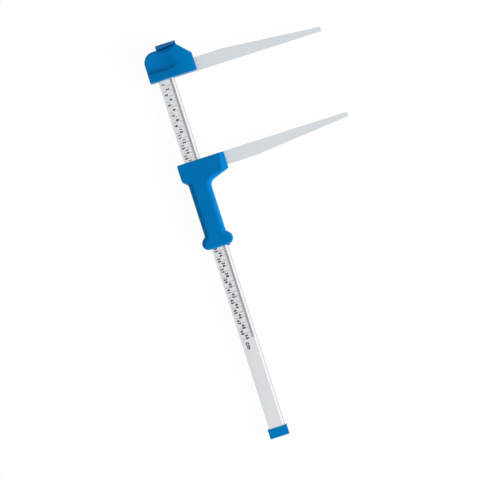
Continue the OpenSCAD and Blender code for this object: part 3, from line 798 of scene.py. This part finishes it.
def lay_over_bevel(piece):
    """Bends the print that reaches past the flat face down onto the left bevel."""
    crease = CENTRE_X - FACE_SIDE
    slope = (BEAM_HALF_T - FLANK_HALF_T) / (BEAM_SIDE - FACE_SIDE)
    shape = bmesh.new()
    shape.from_mesh(piece.data)
    everything = [*shape.verts, *shape.edges, *shape.faces]
    bmesh.ops.bisect_plane(
        shape, geom=everything, dist=MERGE, plane_co=(crease, 0, 0), plane_no=(1, 0, 0)
    )
    for vert in shape.verts:
        if vert.co.x < crease:
            vert.co.z -= (crease - vert.co.x) * slope
    shape.to_mesh(piece.data)
    shape.free()


for ink in (scale_numbers, scale_strokes[-1]):
    lay_over_bevel(ink)

unit = bmesh.new()
unit.from_mesh(lettering_mesh("cm", "x", UNIT_H, UNIT_BOLD))
unit_place = Vector((CENTRE_X + UNIT_X, ZERO.y + UNIT_Y, BEAM_FACE))
bmesh.ops.transform(unit, matrix=Matrix.Translation(unit_place) @ READ_DOWN, verts=unit.verts)
bmesh.ops.remove_doubles(unit, verts=unit.verts, dist=MERGE)
scale_unit = new_piece("scale_unit", unit)
for lettering in (scale_numbers, scale_unit):
    lettering.data.materials.append(scale_ink)
print("numbers have", len(scale_numbers.data.polygons), "faces")

# %% [markdown]
# ## A shared finish: fine grain and uneven tone
# No real surface is one flat colour. Plastic has a faint cloudiness and a fine mould texture, and
# anodised metal shows drawn streaks. All the materials here need such an effect with their own
# sizes, so it is one shader node group with named inputs. It puts out a slow-changing tone and a
# fine grain, and each material decides what they do.

# %% Build the node group
CLOUD_DETAIL, GRAIN_DETAIL = 3, 2


def surface_grain_group():
    """Tone: broad clouds from 0 to 1. Grain: fine noise from 0 to 1, stretched by Stretch."""
    group = bpy.data.node_groups.new("surface_grain", "ShaderNodeTree")
    for name, kind, value in (
        ("Cloud Scale", "NodeSocketFloat", 20.0),
        ("Grain Scale", "NodeSocketFloat", 2000.0),
        ("Stretch", "NodeSocketVector", (1.0, 1.0, 1.0)),
    ):
        group.interface.new_socket(name, in_out="INPUT", socket_type=kind).default_value = value
    for name in ("Tone", "Grain"):
        group.interface.new_socket(name, in_out="OUTPUT", socket_type="NodeSocketFloat")
    nodes, links = group.nodes, group.links
    inputs, outputs = nodes.new("NodeGroupInput").outputs, nodes.new("NodeGroupOutput").inputs
    place = nodes.new("ShaderNodeTexCoord").outputs["Object"]
    clouds = nodes.new("ShaderNodeTexNoise")
    clouds.inputs["Detail"].default_value = CLOUD_DETAIL
    links.new(place, clouds.inputs["Vector"])
    links.new(inputs["Cloud Scale"], clouds.inputs["Scale"])
    links.new(clouds.outputs["Fac"], outputs["Tone"])
    drawn = nodes.new("ShaderNodeVectorMath")
    drawn.operation = "MULTIPLY"
    links.new(place, drawn.inputs[0])
    links.new(inputs["Stretch"], drawn.inputs[1])
    grain = nodes.new("ShaderNodeTexNoise")
    grain.inputs["Detail"].default_value = GRAIN_DETAIL
    links.new(drawn.outputs["Vector"], grain.inputs["Vector"])
    links.new(inputs["Grain Scale"], grain.inputs["Scale"])
    links.new(grain.outputs["Fac"], outputs["Grain"])
    return group


surface_grain = surface_grain_group()
print("node group made:", surface_grain.name)

# %% [markdown]
# ## The materials
# Each finish is a Principled BSDF. What is the same all over is set on the shader itself, and the
# group only varies the colour, the roughness and the small bumps. The blue plastic has a soft
# gloss, the beam is satin anodised with streaks along its length, and the jaws are finely blasted.
# On its right side the beam has no print: its bevel is painted much lighter there as a highlight,
# with a painted shade line along the outer corner.

# %% One helper for all finishes
BUMP_H = 0.05 * MM


def srgb(red, green, blue):
    """A colour as it is read from a screen, made linear for the shader."""
    def linear(value):
        share = value / 255
        return share / 12.92 if share <= 0.04045 else ((share + 0.055) / 1.055) ** 2.4
    return (linear(red), linear(green), linear(blue), 1.0)


def finish(
    material, dark, light, rough, metal, cloud, grain,
    stretch=(1, 1, 1), bump=0.0, specular=0.5, tint=(1, 1, 1),
):
    """dark and light are the ends of the tone, rough the two ends of the roughness.
    cloud and grain are how many patches of tone and specks of grain fit in a metre."""
    material.use_nodes = True
    nodes, links = material.node_tree.nodes, material.node_tree.links
    shader = nodes["Principled BSDF"]
    shader.inputs["Metallic"].default_value = metal
    shader.inputs["Specular IOR Level"].default_value = specular
    shader.inputs["Specular Tint"].default_value = (*tint, 1)
    effect = nodes.new("ShaderNodeGroup")
    effect.node_tree = surface_grain
    effect.inputs["Cloud Scale"].default_value = cloud
    effect.inputs["Grain Scale"].default_value = grain
    effect.inputs["Stretch"].default_value = stretch
    tone = nodes.new("ShaderNodeMix")
    tone.data_type = "RGBA"
    tone.inputs["A"].default_value, tone.inputs["B"].default_value = dark, light
    links.new(effect.outputs["Tone"], tone.inputs["Factor"])
    links.new(tone.outputs["Result"], shader.inputs["Base Color"])
    gloss = nodes.new("ShaderNodeMapRange")
    gloss.inputs["To Min"].default_value, gloss.inputs["To Max"].default_value = rough
    links.new(effect.outputs["Grain"], gloss.inputs["Value"])
    links.new(gloss.outputs["Result"], shader.inputs["Roughness"])
    if bump:
        relief = nodes.new("ShaderNodeBump")
        relief.inputs["Strength"].default_value = bump
        relief.inputs["Distance"].default_value = BUMP_H
        links.new(effect.outputs["Grain"], relief.inputs["Height"])
        links.new(relief.outputs["Normal"], shader.inputs["Normal"])
    return material


# %% Make the finishes
# The width of the painted shade line along the beam's outer corner.
SHADE_LINE_W = 0.7 * MM


def new_finish(name, *values, **more):
    """A new material with the shared finish."""
    return finish(bpy.data.materials.new(name), *values, **more)


blue_moulding = new_finish(
    "blue_moulding", srgb(0, 102, 163), srgb(0, 109, 172), rough=(0.34, 0.44), metal=0.0,
    cloud=18, grain=2600, bump=0.15, specular=0.3, tint=(0.1, 0.55, 1),
)
anodised_beam = new_finish(
    "anodised_beam", srgb(211, 215, 218), srgb(220, 223, 225), rough=(0.2, 0.28), metal=0.95,
    cloud=25, grain=1500, stretch=(1, 0.02, 1), bump=0.1,
)


def trim_right_edge(material, highlight_colour, shade_colour):
    """A painted highlight on the bevel beside the strokes, and a painted shade line along the
    beam's outer corner.
    """
    nodes, links = material.node_tree.nodes, material.node_tree.links
    base = nodes["Principled BSDF"].inputs["Base Color"]
    place = nodes.new("ShaderNodeSeparateXYZ")
    links.new(nodes.new("ShaderNodeTexCoord").outputs["Object"], place.inputs[0])
    # Beyond the flat face the bevel gets the painted highlight; near the outer corner it gets the
    # painted shade.
    for start, colour in ((FACE_SIDE, highlight_colour), (BEAM_SIDE - SHADE_LINE_W, shade_colour)):
        beyond = nodes.new("ShaderNodeMath")
        beyond.operation = "GREATER_THAN"
        beyond.inputs[1].default_value = CENTRE_X + start
        links.new(place.outputs["X"], beyond.inputs[0])
        zone = nodes.new("ShaderNodeMix")
        zone.data_type = "RGBA"
        links.new(base.links[0].from_socket, zone.inputs["A"])
        zone.inputs["B"].default_value = colour
        links.new(beyond.outputs[0], zone.inputs["Factor"])
        links.new(zone.outputs["Result"], base)


# The light colour on the right bevel is a painted highlight, and the dark outer line is painted
# shade.
trim_right_edge(anodised_beam, srgb(240, 242, 243), srgb(140, 143, 146))
blasted_jaw = new_finish(
    "blasted_jaw", srgb(205, 211, 215), srgb(216, 221, 223), rough=(0.42, 0.55), metal=0.8,
    cloud=12, grain=3000, bump=0.2,
)
zinc_steel = new_finish(
    "zinc_steel", srgb(170, 172, 176), srgb(196, 198, 202), rough=(0.25, 0.4), metal=1.0,
    cloud=120, grain=2500, bump=0.05,
)
turned_brass = new_finish(
    "turned_brass", srgb(196, 158, 88), srgb(220, 184, 110), rough=(0.25, 0.4), metal=1.0,
    cloud=120, grain=2500,
)
dark_acetal = new_finish(
    "dark_acetal", srgb(14, 44, 84), srgb(18, 54, 100), rough=(0.35, 0.5), metal=0.0,
    cloud=60, grain=2000,
)
white_acetal = new_finish(
    "white_acetal", srgb(226, 226, 220), srgb(236, 236, 230), rough=(0.35, 0.5), metal=0.0,
    cloud=60, grain=2000,
)
finish(
    scale_ink, srgb(18, 19, 21), srgb(28, 29, 32), rough=(0.5, 0.65), metal=0.0,
    cloud=60, grain=2000, specular=0.1,
)
FINISHES = {
    "anodised_beam": anodised_beam,
    "jaw_metal": blasted_jaw,
    "blue_moulding": blue_moulding,
    "dark_acetal": dark_acetal,
    "white_acetal": white_acetal,
    "zinc_steel": zinc_steel,
    "brass_insert": turned_brass,
}
print("finishes:", ", ".join(FINISHES))

# %% [markdown]
# ## Dressing the solid pieces
# The beam, jaws, cap, screws and guides already have their shape. Two modifiers take off the
# sharpness: Weld joins the loose triangles of the solid mesh, and Bevel breaks each edge a little
# so that it catches the light. Weighted Normal keeps the flat faces flat between the bevels. The
# beam goes without it: its own long bevels are so shallow that they would blend with the face.

# %% Break the edges of the solid pieces and paint them
JAW_BREAK, SMALL_BREAK = 0.35 * MM, 0.12 * MM
EDGE_BREAK = {
    "beam": 0.15 * MM,
    "end_cap": 0.45 * MM,
    "fixed_jaw": JAW_BREAK,
    "sliding_jaw": JAW_BREAK,
}
BREAK_STEPS, BREAK_ANGLE = 2, math.radians(35)
slot_of = {row["node"]: row["material_slot"] for row in frame["record"]["subparts"]}
for node, piece in frame["nodes"].items():
    piece.data.materials.clear()
    piece.data.materials.append(FINISHES[slot_of[node]])
    weld = piece.modifiers.new("weld", "WELD")
    weld.merge_threshold = MERGE
    bevel = piece.modifiers.new("break_edges", "BEVEL")
    bevel.width = EDGE_BREAK.get(node, SMALL_BREAK)
    bevel.segments = BREAK_STEPS
    bevel.limit_method = "ANGLE"
    bevel.angle_limit = BREAK_ANGLE
    if node != "beam":
        piece.modifiers.new("even_normals", "WEIGHTED_NORMAL")
print("solid pieces dressed:", len(frame["nodes"]))

# %% [markdown]
# ## Joining the new pieces to the moving parts
# Each new piece rides on the body that carries it: the print and the head stay with the beam, and
# the handle's shells slide. The softened shells stand for the plain ones, which are then hidden.

# %% Ride, replace and give the shells their finish
shells = (
    (head_front, "head_front_shell", "beam"),
    (head_rear, "head_rear_shell", "beam"),
    (handle_front, "handle_front_shell", "handle"),
    (handle_rear, "handle_rear_shell", "handle"),
)
for shell, node, body in shells:
    shell.data.materials.clear()
    shell.data.materials.append(blue_moulding)
    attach(shell, body)
    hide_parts(node)
print_pieces = (*scale_strokes, scale_numbers, scale_unit)
for print_piece in print_pieces:
    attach(print_piece, "beam")
print("shells:", len(shells), "print pieces:", len(print_pieces))

# %% [markdown]
# ## Studio: floor, light and camera
# The tool lies on its back on a white table and the camera looks straight down on it from a few
# metres. The floor is plain white: for what the camera and reflections see it is mostly self-lit,
# so that it is white without more light on the tool, and a share of plain diffuse keeps the shadow.

# %% Floor and world
FLOOR_SIZE, FLOOR_Z = 40, -0.4 * MM
FLOOR_WHITE, SELF_LIT = 0.9, 0.96
AMBIENT = 0.31


def seen_directly(nodes, links):
    """1 for rays from the camera, from reflections and through clear things."""
    rays = nodes.new("ShaderNodeLightPath").outputs
    total = rays["Is Camera Ray"]
    for name in ("Is Glossy Ray", "Is Transmission Ray"):
        step = nodes.new("ShaderNodeMath")
        step.operation = "MAXIMUM"
        links.new(total, step.inputs[0])
        links.new(rays[name], step.inputs[1])
        total = step.outputs[0]
    return total


floor_mesh = bmesh.new()
floor_place = Matrix.Translation((0, 0, FLOOR_Z))
bmesh.ops.create_grid(
    floor_mesh, x_segments=1, y_segments=1, size=FLOOR_SIZE, matrix=floor_place
)
floor = new_piece("floor", floor_mesh)
white_table = bpy.data.materials.new("white_table")
white_table.use_nodes = True
nodes, links = white_table.node_tree.nodes, white_table.node_tree.links
nodes.remove(nodes["Principled BSDF"])
matt = nodes.new("ShaderNodeBsdfDiffuse")
matt.inputs["Color"].default_value = (FLOOR_WHITE, FLOOR_WHITE, FLOOR_WHITE, 1)
glow = nodes.new("ShaderNodeEmission")
share = nodes.new("ShaderNodeMath")
share.operation = "MULTIPLY"
share.inputs[1].default_value = SELF_LIT
links.new(seen_directly(nodes, links), share.inputs[0])
blend = nodes.new("ShaderNodeMixShader")
links.new(share.outputs[0], blend.inputs["Fac"])
links.new(matt.outputs[0], blend.inputs[1])
links.new(glow.outputs[0], blend.inputs[2])
links.new(blend.outputs[0], nodes["Material Output"].inputs["Surface"])
floor.data.materials.append(white_table)

studio = bpy.data.worlds.new("studio")
studio.use_nodes = True
bpy.context.scene.world = studio
nodes, links = studio.node_tree.nodes, studio.node_tree.links
level = nodes.new("ShaderNodeMix")
level.inputs["A"].default_value, level.inputs["B"].default_value = AMBIENT, 1.0
links.new(seen_directly(nodes, links), level.inputs["Factor"])
links.new(level.outputs["Result"], nodes["Background"].inputs["Strength"])
nodes["Background"].inputs["Color"].default_value = (1, 1, 1, 1)
bpy.context.scene.view_settings.view_transform = "Standard"
print("ambient level:", AMBIENT)

# %% [markdown]
# One large soft lamp stands at the lower right, as in the picture: surfaces that face right and
# down are lighter, and the left and upper edges fall off. A weak lamp from the upper left fills
# in. Both are kept out of reflections, as a polarising filter would do, so that no metal face
# mirrors a lamp and burns out to white, from whatever side the tool is seen.

# %% Lamps
AIM = (solid_low + solid_high) / 2


def soft_lamp(name, direction, distance, width, height, power):
    """A soft box that looks at the tool's middle; its width is level with the table."""
    lamp = bpy.data.lights.new(name, "AREA")
    lamp.shape = "RECTANGLE"
    lamp.size, lamp.size_y = width, height
    lamp.energy = power
    stand = bpy.data.objects.new(name, lamp)
    way = Vector(direction).normalized()
    stand.location = AIM + way * distance
    stand.rotation_mode = "QUATERNION"
    stand.rotation_quaternion = way.to_track_quat("Z", "Y")
    stand.visible_glossy = False
    bpy.context.scene.collection.objects.link(stand)
    return stand


soft_lamp(
    "key_lamp", direction=(1.0, -0.7, 0.5), distance=2.0, width=1.9, height=1.9, power=105
)
soft_lamp(
    "fill_lamp", direction=(-0.6, 0.9, 0.55), distance=2.6, width=1.6, height=1.6, power=14
)
print("lamps:", len(bpy.data.lights))

# %% [markdown]
# The camera looks straight down and is turned about that line, so that the beam leans in the
# picture. Its lens follows from its distance and from the width that the picture has to show.

# %% Camera
PICTURE_W = 0.889
PICTURE_MIDDLE = ZERO + Vector((39.75 * MM, -322.7 * MM, 0))
SENSOR = 36.0
CAMERA_DISTANCE = 4.0
CLIP_END = 100
BEAM_LEAN = math.radians(17.72)
camera = bpy.data.objects.new("camera", bpy.data.cameras.new("camera"))
camera.data.sensor_width = SENSOR
camera.data.lens = CAMERA_DISTANCE * SENSOR / PICTURE_W
camera.data.clip_end = CLIP_END
camera.rotation_mode = "QUATERNION"
camera.rotation_quaternion = Matrix.Rotation(-BEAM_LEAN, 3, "Z").to_quaternion()
camera.location = PICTURE_MIDDLE + Vector((0, 0, CAMERA_DISTANCE))
bpy.context.scene.collection.objects.link(camera)
bpy.context.scene.camera = camera
print("lens in mm:", round(camera.data.lens, 1))
